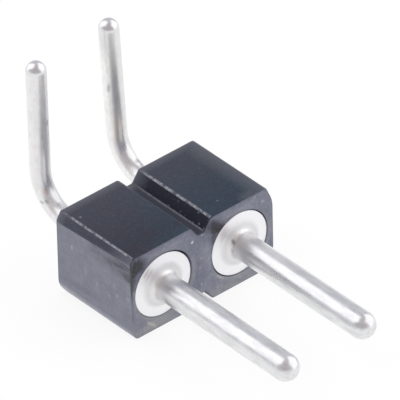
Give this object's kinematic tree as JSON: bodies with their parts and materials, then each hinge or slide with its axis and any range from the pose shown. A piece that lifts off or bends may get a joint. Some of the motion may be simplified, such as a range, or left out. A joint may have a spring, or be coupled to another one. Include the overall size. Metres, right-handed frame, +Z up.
{
  "type": "right-angle pin header",
  "caption": "Right-angle single-row header: black moulded insulator with a break groove, round turned contact pins with collar discs to the front and bent solder tails behind.",
  "frame": {"origin": "middle of the row, on the pin axes, in the plane of the insulator's mating face", "axes": "+X along the row of pins from left to right, -Y the way the mating pins point, +Z up the way the solder tails point"},
  "size_m": [0.0048, 0.0101, 0.0056],
  "materials": {
    "black_plastic": "satin moulded thermoplastic",
    "plated_metal": "bright tin plate on turned brass"
  },
  "bodies": {
    "root": {"insulator": "black_plastic", "left_pin": "plated_metal", "right_pin": "plated_metal"}
  },
  "joints": []
}
